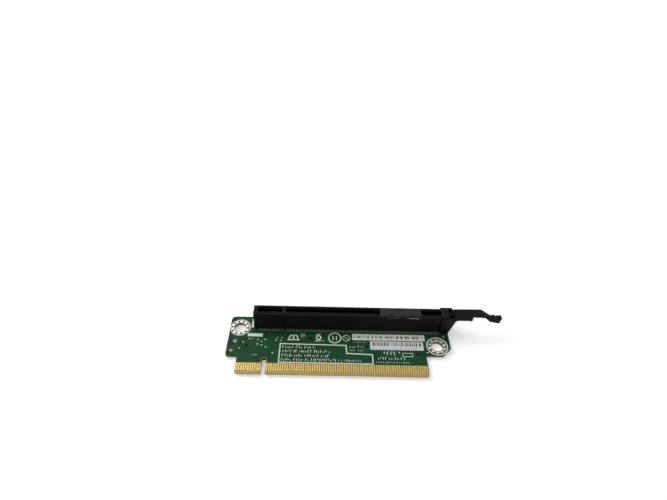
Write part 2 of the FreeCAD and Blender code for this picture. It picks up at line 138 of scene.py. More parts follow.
PAPER = Finish("label_paper", "label_paper", (0.74, 0.75, 0.755), (0.84, 0.85, 0.855),
               0.70, grain=0.25, gloss=0.3)
PAPER_INK = Finish("label_ink", "label_paper", (0.010, 0.010, 0.011), (0.032, 0.032, 0.034),
                   0.60, grain=0.15, gloss=0.3)
VIA = Finish("via_tin", "tinned_copper", (0.62, 0.66, 0.60), (0.86, 0.90, 0.84),
             0.45, metallic=0.2, grain=0.20, gloss=0.4)
RIM = Finish("bare_rim", "board_laminate", (0.026, 0.026, 0.017), (0.058, 0.052, 0.034),
             0.55, grain=0.20, gloss=0.3)
# Painted shade: near-black discs over the vias and the pilot holes stand for the dark inside of
# each hole.
SHADE = Finish("painted_hole_shade", "board_laminate", (0.006, 0.007, 0.006), (0.020, 0.016, 0.012),
               0.75, grain=0.10, gloss=0.1)
FLOOR = Finish("floor_paint", "floor", (0.93, 0.93, 0.93), (0.95, 0.95, 0.95), 0.9)

BARE_LAMINATE = Blend((0.045, 0.027, 0.008), (0.095, 0.060, 0.019))
BEVEL_LAMINATE = Blend((0.44, 0.335, 0.125), (0.54, 0.43, 0.180))
EDGE_RESIN = Blend((0.085, 0.090, 0.050), (0.17, 0.165, 0.095))
# Painted shade: near-black walls of the key notch stand for the shadow under the card seen
# through it.
NOTCH_WALL_SHADE = Blend((0.016, 0.011, 0.007), (0.045, 0.032, 0.020))
# Painted light: the pale wall of the tooling hole stands for the lit floor seen through the hole.
TOOLING_WALL_PAINTED_LIGHT = Blend((0.55, 0.42, 0.34), (0.75, 0.62, 0.53))
FLOOR_GLOW = Blend((0.40, 0.40, 0.40), (0.60, 0.60, 0.60))
EDGE_LAYER: Colour = (0.070, 0.095, 0.052)
NOTCH_RIM: Colour = (0.30, 0.225, 0.115)
TAIL_TIN: Colour = (0.36, 0.355, 0.34)
RUBBED_GOLD: Colour = (0.62, 0.40, 0.24)
FILM_GLINT: Colour = (0.85, 0.85, 0.84)
NO_LIGHT: Colour = (0.0, 0.0, 0.0)
WHITE: Colour = (1.0, 1.0, 1.0)


class Socket:
    """A node output on which arithmetic adds Math or Vector Math nodes."""

    def __init__(self, graph: Nodes, output: bpy.types.NodeSocket, vector: bool = False) -> None:
        """Wraps a node's output.

        Args:
            graph: The node tree that the output belongs to.
            output: The output itself.
            vector: True if the output is a vector or a colour.
        """
        self.graph = graph
        self.output = output
        self.vector = vector

    def _apply(self, operation: str, other: Operand, reflected: bool = False) -> Socket:
        """Adds one arithmetic node.

        Args:
            operation: The node's operation.
            other: The other operand.
            reflected: True if the other operand comes first.

        Returns:
            The node's result.
        """
        vector = self.vector or (isinstance(other, Socket) and other.vector)
        node = self.graph.tree.nodes.new("ShaderNodeVectorMath" if vector else "ShaderNodeMath")
        node.operation = operation
        pair = (other, self) if reflected else (self, other)
        for entry, value in zip(node.inputs, pair):
            self.graph.feed(entry, value)
        return Socket(self.graph, node.outputs[0], vector)

    def __add__(self, other: Operand) -> Socket:
        """Returns self plus other."""
        return self._apply("ADD", other)

    def __radd__(self, other: Operand) -> Socket:
        """Returns other plus self."""
        return self._apply("ADD", other, True)

    def __sub__(self, other: Operand) -> Socket:
        """Returns self minus other."""
        return self._apply("SUBTRACT", other)

    def __rsub__(self, other: Operand) -> Socket:
        """Returns other minus self."""
        return self._apply("SUBTRACT", other, True)

    def __mul__(self, other: Operand) -> Socket:
        """Returns self times other."""
        return self._apply("MULTIPLY", other)

    def __rmul__(self, other: Operand) -> Socket:
        """Returns other times self."""
        return self._apply("MULTIPLY", other, True)

    def __truediv__(self, other: Operand) -> Socket:
        """Returns self divided by other."""
        return self._apply("DIVIDE", other)

    def __rtruediv__(self, other: Operand) -> Socket:
        """Returns other divided by self."""
        return self._apply("DIVIDE", other, True)

    def __pow__(self, other: Operand) -> Socket:
        """Returns self to the power of other."""
        return self._apply("POWER", other)

    def __rpow__(self, other: Operand) -> Socket:
        """Returns other to the power of self."""
        return self._apply("POWER", other, True)

    def __lt__(self, other: Operand) -> Socket:
        """Returns 1 where self is less than other, else 0."""
        return self._apply("LESS_THAN", other)

    def __gt__(self, other: Operand) -> Socket:
        """Returns 1 where self is greater than other, else 0."""
        return self._apply("GREATER_THAN", other)

    def __abs__(self) -> Socket:
        """Returns the absolute value."""
        return self._apply("ABSOLUTE", 0.0)

    def fraction(self) -> Socket:
        """Returns the fractional part."""
        return self._apply("FRACT", 0.0)

    def sine(self) -> Socket:
        """Returns the sine."""
        return self._apply("SINE", 0.0)

    def most(self, other: Operand) -> Socket:
        """Returns the greater of self and other."""
        return self._apply("MAXIMUM", other)

    def inside(self, low: float, high: float) -> Socket:
        """Marks a band.

        Args:
            low: The band's lower limit.
            high: The band's upper limit.

        Returns:
            1 between the two limits, else 0.
        """
        return (self > low) * (self < high)

    def axes(self) -> tuple[Socket, Socket, Socket]:
        """Splits a vector.

        Returns:
            Its three components.
        """
        first = self.graph.node("ShaderNodeSeparateXYZ", Vector=self)
        x, y, z = (Socket(self.graph, output) for output in first.output.node.outputs)
        return x, y, z


Operand = Socket | float | Sequence[float]


class Nodes:
    """Node tree of a material or of the sky."""

    def __init__(self, tree: bpy.types.NodeTree) -> None:
        """Wraps a node tree.

        Args:
            tree: The tree.
        """
        self.tree = tree

    def feed(self, entry: bpy.types.NodeSocket, value: Operand) -> None:
        """Links a socket to an input, or sets the input to a plain value.

        Args:
            entry: The input.
            value: A socket, a number or a tuple of numbers.
        """
        if isinstance(value, Socket):
            self.tree.links.new(value.output, entry)
        elif isinstance(value, (int, float)) and hasattr(entry.default_value, "__len__"):
            entry.default_value = [float(value)] * len(entry.default_value)
        elif hasattr(value, "__len__") and len(entry.default_value) == 4 and len(value) == 3:
            entry.default_value = (*value, 1.0)
        else:
            entry.default_value = value

    def node(self, kind: str, output: str = "", vector: bool = False,
             settings: dict[str, object] | None = None, **inputs: Operand) -> Socket:
        """Adds any node that isn't arithmetic.

        Args:
            kind: The node's type.
            output: The output to return, or nothing for the first that the settings leave on.
            vector: True if that output is a vector or a colour.
            settings: Properties to set on the node, before its inputs.
            inputs: Inputs by name, with underscores for spaces.

        Returns:
            The chosen output.
        """
        node = self.tree.nodes.new(kind)
        for prop, value in (settings or {}).items():
            setattr(node, prop, value)
        entries = {entry.name: entry for entry in node.inputs if entry.enabled}
        for name, value in inputs.items():
            self.feed(entries[name.replace("_", " ")], value)
        chosen = next(entry for entry in node.outputs
                      if entry.enabled and output in ("", entry.name))
        return Socket(self, chosen, vector)

    def shown(self) -> Socket:
        """Returns 1 for what the camera sees directly, in a reflection or through the film."""
        rays = [self.node("ShaderNodeLightPath", f"Is {kind} Ray")
                for kind in ("Camera", "Glossy", "Transmission")]
        return rays[0].most(rays[1]).most(rays[2])


class Graph(Nodes):
    """Node graph of one material, with one method for each thing that every finish needs."""

    def __init__(self, finish: Finish) -> None:
        """Starts a material with a Principled shader.

        Args:
            finish: The finish that the material shows.
        """
        self.finish = finish
        self.material = bpy.data.materials.new(finish.name)
        self.material.use_nodes = True
        super().__init__(self.material.node_tree)
        self.shader = self.tree.nodes["Principled BSDF"]
        self.shader.inputs["Metallic"].default_value = finish.metallic
        self.shader.inputs["Specular IOR Level"].default_value = finish.gloss
        place = self.node("ShaderNodeTexCoord", "Object", vector=True)
        self.mm = place * (1.0 / MM, 1.0 / MM, 1.0 / MM)
        self.x, self.y, self.z = self.mm.axes()

    def noise(self, per_mm: float, detail: float = 3.0,
              stretch: Point3 = (1.0, 1.0, 1.0)) -> Socket:
        """Adds a noise pattern.

        Args:
            per_mm: Features for each millimetre.
            detail: Octaves of finer noise.
            stretch: Scale along each axis, below 1 where the features are drawn out.

        Returns:
            The pattern, from 0 to 1.
        """
        place = self.mm * stretch
        return self.node("ShaderNodeTexNoise", "Fac", Vector=place, Scale=per_mm, Detail=detail)

    def cells(self, per_mm: float) -> Socket:
        """Adds a pattern of cells.

        Args:
            per_mm: Cells for each millimetre.

        Returns:
            The distance from the middle of each cell.
        """
        return self.node("ShaderNodeTexVoronoi", "Distance", Vector=self.mm, Scale=per_mm)

    def ramp(self, value: Socket, low: float, high: float, start: float = 0.0,
             end: float = 1.0) -> Socket:
        """Maps a range of values smoothly onto another.

        Args:
            value: The value.
            low: The value that becomes start.
            high: The value that becomes end.
            start: The result at low.
            end: The result at high.

        Returns:
            The mapped value.
        """
        return self.node("ShaderNodeMapRange", settings={"interpolation_type": "SMOOTHSTEP"},
                         Value=value, From_Min=low, From_Max=high, To_Min=start, To_Max=end)

    def mix(self, factor: Operand, first: Operand, second: Operand) -> Socket:
        """Mixes two colours.

        Args:
            factor: 0 gives the first colour and 1 the second.
            first: The first colour.
            second: The second colour.

        Returns:
            The mixed colour.
        """
        return self.node("ShaderNodeMix", vector=True, settings={"data_type": "RGBA"},
                         Factor=factor, A=first, B=second)

    def between(self, factor: Operand, pair: Blend | Finish) -> Socket:
        """Mixes the two colours of a blend or a finish.

        Args:
            factor: 0 gives the base colour and 1 the accent.
            pair: The blend or the finish.

        Returns:
            The mixed colour.
        """
        return self.mix(factor, pair.base, pair.accent)

    def distance(self, centre: Point2) -> Socket:
        """Measures how far the surface lies from an upright axis.

        Args:
            centre: Where the axis stands.

        Returns:
            The distance in millimetres.
        """
        across, along = self.x - centre[0], self.y - centre[1]
        return (across * across + along * along) ** 0.5

    def level(self) -> Socket:
        """Returns 1 where the surface lies level and 0 where it stands upright."""
        return abs(self.node("ShaderNodeNewGeometry", "True Normal", vector=True).axes()[2])

    def relief(self, height: Socket, depth_mm: float, strength: float) -> None:
        """Gives the surface a bump.

        Args:
            height: The pattern, from 0 to 1.
            depth_mm: The height of 1 in the pattern, in millimetres.
            strength: How strongly the bump shows.
        """
        bump = self.node("ShaderNodeBump", "Normal", vector=True, Height=height,
                         Strength=strength, Distance=depth_mm * MM)
        self.feed(self.shader.inputs["Normal"], bump)

    def colour(self, colour: Operand) -> None:
        """Sets the base colour.

        Args:
            colour: The colour.
        """
        self.feed(self.shader.inputs["Base Color"], colour)

    def rough(self, value: Operand) -> None:
        """Sets the roughness.

        Args:
            value: The roughness.
        """
        self.feed(self.shader.inputs["Roughness"], value)


@dataclass(frozen=True)
class CopperPattern:
    """Traces, pours and glass cloth that show faintly through the solder mask."""

    lane_shift: float = 0.23
    wide_trace: Point2 = (0.30, 0.52)
    thin_trace: Point2 = (0.70, 0.88)
    slant_rate: float = 0.8
    slant_trace: Point2 = (0.25, 0.55)
    threads: float = 13.0
    cloth_share: float = 0.12

    def lay(self, graph: Graph) -> tuple[Socket, Socket]:
        """Lays the pattern out in millimetres.

        Args:
            graph: The material's graph.

        Returns:
            The tint of the mask and its relief, both from 0 to 1.
        """
        x, y = graph.x, graph.y
        lane = (x + self.lane_shift).fraction()
        straight = lane.inside(*self.wide_trace) + lane.inside(*self.thin_trace)
        slanted = ((x + y) * self.slant_rate).fraction().inside(*self.slant_trace)
        region = graph.noise(0.11, detail=1.0)
        traces = graph.mix(graph.ramp(region, 0.47, 0.52), straight, slanted)
        calm = graph.ramp(graph.noise(0.16, detail=2.0, stretch=(1.0, 1.6, 1.0)), 0.38, 0.62)
        traces = traces * calm
        pour = graph.ramp(graph.cells(0.13), 0.25, 0.55)
        cloth = ((x * self.threads).sine() * (y * self.threads).sine()) * 0.5 + 0.5
        tint = traces * 0.5 + pour * 0.3 + cloth * self.cloth_share + graph.noise(1.7) * 0.2
        return tint, traces * 0.6 + cloth * 0.25


def paint_mask(graph: Graph, card: CardSizes) -> None:
    """Green solder mask, with bare laminate at edges and fingers and tinned lands underneath.

    Args:
        graph: The material's graph.
        card: Sizes of the card.
    """
    finish = graph.finish
    y, z = graph.y, graph.z
    tint, relief = CopperPattern().lay(graph)
    fibres = graph.noise(5.0, detail=2.0, stretch=(0.25, 1.0, 1.0))

    level = graph.level()
    standing = level < 0.5
    sloping = level.inside(0.5, 0.98)
    edge_end = card.front_y + card.edge_strip
    side = standing * (y > edge_end)
    bevel = sloping.most(standing * (y < edge_end))
    across = abs(graph.x - card.key_x)
    ahead = (y - card.key_end_y).most(0.0)
    rim = (across * across + ahead * ahead) ** 0.5 < card.key_width / 2 + card.notch_rim

    tongue = y < card.front_y + card.finger_end
    laminate = graph.mix(bevel, graph.between(fibres, BARE_LAMINATE),
                         graph.between(fibres, BEVEL_LAMINATE))
    colour = graph.mix(tongue, graph.between(tint, finish), laminate)
    colour = graph.mix(rim, colour, NOTCH_RIM)
    layers = graph.mix((z * card.layers_per_mm).fraction().inside(0.0, 0.3),
                       graph.between(fibres, EDGE_RESIN), EDGE_LAYER)
    # Side faces show the resin layers; the key notch's walls show painted shade instead.
    colour = graph.mix(side, colour, graph.mix(rim, layers, graph.between(fibres, NOTCH_WALL_SHADE)))
    # Painted light: the tooling hole's wall is made pale so that the hole looks lit through.
    tooling_wall_lit = graph.distance(card.tooling) < card.tooling_radius + 0.1
    colour = graph.mix(tooling_wall_lit * side, colour, graph.between(fibres, TOOLING_WALL_PAINTED_LIGHT))

    left, right = (graph.distance(hole).inside(card.land_bore, card.land_radius)
                   for hole in card.holes)
    bare = (left + right) * (z < 0.05)
    graph.colour(graph.mix(bare, colour, graph.between(fibres, TIN)))
    graph.feed(graph.shader.inputs["Metallic"], bare)
    graph.rough(finish.roughness + graph.noise(2.5) * finish.grain + side * 0.25)
    graph.relief(relief, 0.02, 0.5)


def paint_ink(graph: Graph) -> None:
    """White printed legend, a little thin and worn in places.

    Args:
        graph: The material's graph.
    """
    finish = graph.finish
    thin = graph.ramp(graph.noise(3.2, detail=4.0), 0.56, 0.74)
    speck = graph.ramp(graph.noise(9.0, detail=2.0), 0.30, 0.20)
    graph.colour(graph.between(thin * 0.6 + speck * 0.5, finish))
    graph.rough(finish.roughness + graph.noise(6.0) * finish.grain)
    graph.relief(graph.noise(7.0), 0.01, 0.4)


def paint_moulding(graph: Graph) -> None:
    """Black glass-filled moulding with fine flow grain and scuffs.

    Args:
        graph: The material's graph.
    """
    finish = graph.finish
    flow = graph.noise(1.1, detail=4.0, stretch=(0.25, 1.0, 1.0))
    pits = graph.noise(14.0)
    scuffs = graph.ramp(graph.noise(2.4, detail=5.0, stretch=(0.12, 1.0, 1.0)), 0.60, 0.78)
    graph.colour(graph.between(flow * 0.5 + scuffs * 0.5, finish))
    graph.rough(finish.roughness + (flow - 0.5) * finish.grain - scuffs * 0.12)
    graph.relief(pits * 0.6 + flow * 0.4, 0.025, 0.55)


def paint_latch(graph: Graph) -> None:
    """Black latch moulding: satin arm, with an etched leathery grain.

    Args:
        graph: The material's graph.
    """
    finish = graph.finish
    etched = graph.ramp(graph.cells(2.6), 0.10, 0.55)
    blotch = graph.noise(0.8)
    rubbed = graph.ramp(graph.noise(1.6, detail=4.0), 0.55, 0.72)
    graph.colour(graph.between(blotch * 0.6 + rubbed * 0.5, finish))
    graph.rough(finish.roughness + (etched - 0.5) * finish.grain * 0.5)
    graph.relief(etched * 0.7 + graph.noise(9.0) * 0.3, 0.04, 0.5)


def paint_contact(graph: Graph, card: CardSizes) -> None:
    """Stamped contact: tinned tail, gilt spring above it, both darkened with painted shade.

    Args:
        graph: The material's graph.
        card: Sizes of the card.
    """
    finish = graph.finish
    gilt = graph.ramp(graph.z, card.thickness + 0.9, card.thickness + 1.5)
    draw = graph.noise(6.0, stretch=(1.0, 0.2, 0.2))
    # Painted shade: the tail streaks between dark tin and plain tin, and the spring takes the
    # dark gilt.
    tin = graph.mix(draw, finish.base, TAIL_TIN)
    graph.colour(graph.mix(gilt, tin, finish.accent))
    graph.rough(finish.roughness + draw * finish.grain)
    graph.relief(draw, 0.01, 0.35)


def paint_gold(graph: Graph, card: CardSizes) -> None:
    """Gold-plated fingers: polishing lines along each finger and a rubbed band.

    Args:
        graph: The material's graph.
        card: Sizes of the card.
    """
    finish = graph.finish
    brushed = graph.noise(6.0, detail=4.0, stretch=(2.0, 0.12, 1.0))
    tone = graph.noise(0.55, detail=2.0)
    wiped = graph.ramp(abs(graph.y - (card.front_y + card.rub_line)), 0.45, 0.15)
    plate = graph.between(brushed * 0.5 + tone * 0.5, finish)
    graph.colour(graph.mix(wiped * 0.45, plate, RUBBED_GOLD))
    graph.rough(finish.roughness + (brushed - 0.5) * finish.grain + wiped * 0.08)
    graph.relief(brushed, 0.006, 0.5)


def paint_metal(graph: Graph) -> None:
    """Soft metal such as tin, solder or copper: mottled, with small pits and dull patches.

    Args:
        graph: The material's graph.
    """
    finish = graph.finish
    mottle = graph.noise(2.2, detail=4.0)
    dull = graph.ramp(graph.noise(0.9), 0.50, 0.68)
    graph.colour(graph.between(mottle, finish))
    graph.rough(finish.roughness + dull * finish.grain * 0.6 + (mottle - 0.5) * 0.2)
    graph.relief(graph.noise(5.0), 0.03, 0.5)


def paint_film(graph: Graph) -> None:
    """Thin grey see-through film with faint creases, and glints on its fold and lower hem.

    Args:
        graph: The material's graph.
    """
    finish = graph.finish
    low, high = (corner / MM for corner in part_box("pick_up_film"))
    along = (graph.x - low.x) / (high.x - low.x)
    crease = graph.noise(0.35, detail=2.0, stretch=(0.5, 1.0, 1.0))
    fold_height = (low.z + 0.85) - along * 0.40
    fold = graph.ramp(abs(graph.z - fold_height), 0.20, 0.06) * (graph.y < low.y + 0.6)
    reach = graph.ramp(along, 0.28, 0.38) * graph.ramp(along, 0.96, 0.91)
    bright = graph.ramp(along, 0.68, 0.80) * 0.55 + 0.35
    hem = graph.ramp(graph.z, low.z + 0.30, low.z + 0.10) * 0.18
    glint = fold * reach * bright + hem
    graph.colour(graph.mix(glint, graph.between(crease, finish), FILM_GLINT))
    graph.rough(finish.roughness + (crease - 0.5) * finish.grain)
    graph.feed(graph.shader.inputs["Alpha"],
               graph.ramp(crease, 0.3, 0.7, 0.58, 0.66).most(glint))
    graph.relief(crease, 0.10, 0.4)


def paint_paper(graph: Graph) -> None:
    """Coated paper or the print on it: fine fibres and faint handling marks.

    Args:
        graph: The material's graph.
    """
    finish = graph.finish
    fibre = graph.noise(6.0, detail=4.0, stretch=(0.5, 1.0, 1.0))
    smudge = graph.ramp(graph.noise(0.35, detail=2.0), 0.45, 0.70)
    graph.colour(graph.between(fibre * 0.6 + smudge * 0.4, finish))
    graph.rough(finish.roughness + (fibre - 0.5) * finish.grain)
    graph.relief(fibre, 0.02, 0.35)


def paint_floor(graph: Graph) -> None:
    """Plain pale paint that shows a little brighter, and more so far from the object.

    Args:
        graph: The material's graph.
    """
    finish = graph.finish
    graph.colour(graph.between(graph.noise(0.02), finish))
    graph.rough(finish.roughness)
    far = graph.ramp(graph.distance((0.0, 0.0)), 150.0, 600.0)
    glow = graph.mix(graph.shown(), NO_LIGHT, graph.between(far, FLOOR_GLOW))
    graph.feed(graph.shader.inputs["Emission Color"], glow)
    graph.shader.inputs["Emission Strength"].default_value = 1.0


def make_material(finish: Finish, paint: Callable[..., None],
                  *extra: object) -> bpy.types.Material:
    """Builds one finish's material.

    Args:
        finish: The finish.
        paint: The function that adds the finish's own nodes.
        extra: Further arguments for that function.

    Returns:
        The material.
    """
    graph = Graph(finish)
    paint(graph, *extra)
    log.info("material %s: %d nodes", finish.name, len(graph.tree.nodes))
    return graph.material


@dataclass
class CardSizes:
    """Sizes that several pieces share, read from the CAD frame, in millimetres."""

    thickness: float
    left_x: float
    right_x: float
    front_y: float
    slot_first: float
    slot_y: float
    finger_first: float
    finger_end: float
    holes: tuple[Point2, Point2]
    pitch: float = 1.0
    short_count: int = 11
    long_count: int = 71
    bay_step: float = 3.0
    tooling: Point2 = (-1.5, -7.5)
    tooling_radius: float = 1.05
    land_bore: float = 2.6
    land_radius: float = 4.28
    key_width: float = 1.9
    key_depth: float = 7.7
    notch_rim: float = 0.42
    edge_strip: float = 0.3
    rub_line: float = 1.9
    layers_per_mm: float = 4.4
    tail_reach: float = 3.75

    @property
    def key_x(self) -> float:
        """X of the key notch in the card edge."""
        return self.finger_first + (self.short_count - 1) * self.pitch + self.bay_step / 2

    @property
    def key_end_y(self) -> float:
        """Y of the middle of the key notch's round end."""
        return self.front_y + self.key_depth - self.key_width / 2

    def places(self, first: float) -> list[float]:
        """Lists the contact places of a row.

        Args:
            first: X of the first place.

        Returns:
            X of all the places.
        """
        short = [first + i * self.pitch for i in range(self.short_count)]
        start = short[-1] + self.bay_step
        return short + [start + i * self.pitch for i in range(self.long_count)]


def read_card(frame: dict) -> CardSizes:
    """Reads the shared sizes from the CAD frame.


    Returns:
        The sizes.
    """
    board_low, board_high = (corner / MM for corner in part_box("circuit_board"))
    row_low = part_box("front_contacts")[0] / MM
    rear_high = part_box("rear_contacts")[1] / MM
    finger_low, finger_high = (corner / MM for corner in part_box("edge_fingers_front"))
    bores = [mount for mount in frame["record"]["mounts"] if mount["kind"] == "bore"]
    spots = [(mount["pos_m"][0] / MM, mount["pos_m"][1] / MM) for mount in bores]
    return CardSizes(
        thickness=board_high.z, left_x=board_low.x, right_x=board_high.x, front_y=board_low.y,
        slot_first=row_low.x + CONTACT_WIDTH / 2, slot_y=(row_low.y + rear_high.y) / 2,
        finger_first=finger_low.x + FINGER_WIDTH / 2, finger_end=finger_high.y - board_low.y,
        holes=(spots[0], spots[1]))


def circle(centre: Point2, radius: float, height: float, sides: int) -> list[Point3]:
    """Lays points round a level circle.

    Args:
        centre: The circle's centre.
        radius: Its radius.
        height: Its height.
        sides: The number of points.

    Returns:
        The points, counter-clockwise.
    """
    return [(centre[0] + radius * math.cos(2 * math.pi * i / sides),
             centre[1] + radius * math.sin(2 * math.pi * i / sides), height)
            for i in range(sides)]


def spread(start: float, end: float, width: Callable[[], float],
           gap: Callable[[], float]) -> Iterator[tuple[float, float]]:
    """Sets marks out along a line until it is full.

    Args:
        start: Where the first mark begins.
        end: The place before which the last mark begins.
        width: Gives each mark's width.
        gap: Gives the gap after each mark.

    Yields:
        Where each mark begins, and its width.
    """
    x = start
    while x < end:
        wide = width()
        yield x, wide
        x += wide + gap()


class Builder:
    """Collects geometry in millimetres and turns it into one mesh object in metres."""

    def __init__(self) -> None:
        """Starts with an empty mesh."""
        self.mesh = bmesh.new()

    def loft(self, rings: Sequence[Sequence[Point3]], closed: bool = True,
             caps: bool = True) -> None:
        """Joins a row of rings that have the same number of points.

        Args:
            rings: The rings, in order.
            closed: True if each ring is a closed loop.
            caps: True to close the first and the last ring with a face.
        """
        rows = [[self.mesh.verts.new(point) for point in ring] for ring in rings]
        count = len(rows[0])
        for lower, upper in zip(rows, rows[1:]):
            for i in range(count if closed else count - 1):
                j = (i + 1) % count
                self.mesh.faces.new((lower[i], lower[j], upper[j], upper[i]))
        if caps and closed:
            self.mesh.faces.new(rows[0][::-1])
            self.mesh.faces.new(rows[-1])

    def bar(self, low: Point3, high: Point3, inset: float = 0.0) -> None:
        """Adds a block between two corners, its upper edges cut off where an inset is given.

        Args:
            low: The lowest corner.
            high: The highest corner.
            inset: How far the cut goes in and down.
        """
        def outline(drawn_in: float, height: float) -> list[Point3]:
            """Lays out the block's outline at one height.

            Args:
                drawn_in: How far it is drawn in all round.
                height: Its height.

            Returns:
                Its corners, counter-clockwise.
            """
            left, right = low[0] + drawn_in, high[0] - drawn_in
            front, back = low[1] + drawn_in, high[1] - drawn_in
            return [(left, front, height), (right, front, height),
                    (right, back, height), (left, back, height)]

        rings = [outline(0.0, low[2]), outline(inset, high[2])]
        if inset:
            rings.insert(1, outline(0.0, high[2] - inset))
        self.loft(rings)

    def ring(self, centre: Point2, inner: float, outer: float, low: float, high: float,
             sides: int = 48, crown: float = 0.0) -> None:
        """Adds a flat or crowned ring.

        Args:
            centre: Its centre.
            inner: Its inner radius.
            outer: Its outer radius.
            low: Its lower face's height.
            high: Its upper face's height.
            sides: Steps round it.
            crown: How much lower its two rims are than its middle line.
        """
        section = ((inner, low), (inner, high - crown), ((inner + outer) / 2, high),
                   (outer, high - crown), (outer, low))
        rings = [circle(centre, radius, height, sides) for radius, height in section]
        self.loft(rings + rings[:1], caps=False)

    def dot(self, centre: Point2, radius: float, low: float, high: float, sides: int) -> None:
        """Adds a printed dot that slopes up to its middle.

        Args:
            centre: Its centre.
            radius: Its radius.
            low: Its foot's height.
            high: The height that its middle comes close to.
            sides: Steps round it.
        """
        lift = math.radians(80.0)
        self.loft([circle(centre, radius, low, sides),
                   circle(centre, radius * math.cos(lift), low + (high - low) * math.sin(lift),
                          sides)])

    def stroke(self, points: Sequence[Point2], width: float, low: float, high: float,
               closed: bool = False) -> None:
        """Adds a printed line of one width with mitred corners.

        Args:
            points: The line's corners.
            width: Its width.
            low: Its lower face's height.
            high: Its upper face's height.
            closed: True if it runs back to its first corner.
        """
        count = len(points)
        sides: list[tuple[Vector, Vector]] = []
        for i in range(count):
            here = Vector(points[i])
            before = Vector(points[i - 1]) if closed or i > 0 else None
            after = Vector(points[(i + 1) % count]) if closed or i + 1 < count else None
            normals = []
            for start, end in ((before, here), (here, after)):
                if start is not None and end is not None:
                    run = (end - start).normalized()
                    normals.append(Vector((-run.y, run.x)))
            total = sum(normals, Vector((0.0, 0.0)))
            reach = total * (width / 2 * len(normals) / total.length_squared)
            sides.append((here - reach, here + reach))
        rings = [[(*right, low), (*right, high), (*left, high), (*left, low)]
                 for right, left in sides]
        self.loft(rings + rings[:1] if closed else rings, caps=not closed)

    def build(self, name: str, material: bpy.types.Material, body: Body, slot: str,
              smooth: bool = False) -> bpy.types.Object:
        """Makes the object and sets it on its body.

        Args:
            name: The object's name.
            material: Its material.
            body: The CAD body that it rides on.
            slot: The record's material slot. Not used.
            smooth: True for smooth shading.

        Returns:
            The object.
        """
        bmesh.ops.remove_doubles(self.mesh, verts=self.mesh.verts, dist=1e-6)
        bmesh.ops.recalc_face_normals(self.mesh, faces=self.mesh.faces)
        bmesh.ops.scale(self.mesh, vec=(MM, MM, MM), verts=self.mesh.verts)
        data = bpy.data.meshes.new(name)
        self.mesh.to_mesh(data)
        self.mesh.free()
        thing = bpy.data.objects.new(name, data)
        bpy.context.scene.collection.objects.link(thing)
        data.materials.append(material)
        if smooth:
            data.shade_smooth()
        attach(thing, body.value)
        log.info("piece %s: %d faces", name, len(data.polygons))
        return thing


class Row(NamedTuple):
    """Place of one row of strokes."""

    start: float
    y: float
    end: float
    tall: float


class Circle(NamedTuple):
    """Printed ring, or a dot where its inner radius is 0."""

    x: float
    y: float
    inner: float
    outer: float
    sides: int


class Line(NamedTuple):
    """Printed line of one width."""

    width: float
    points: tuple[Point2, ...]
    closed: bool = False


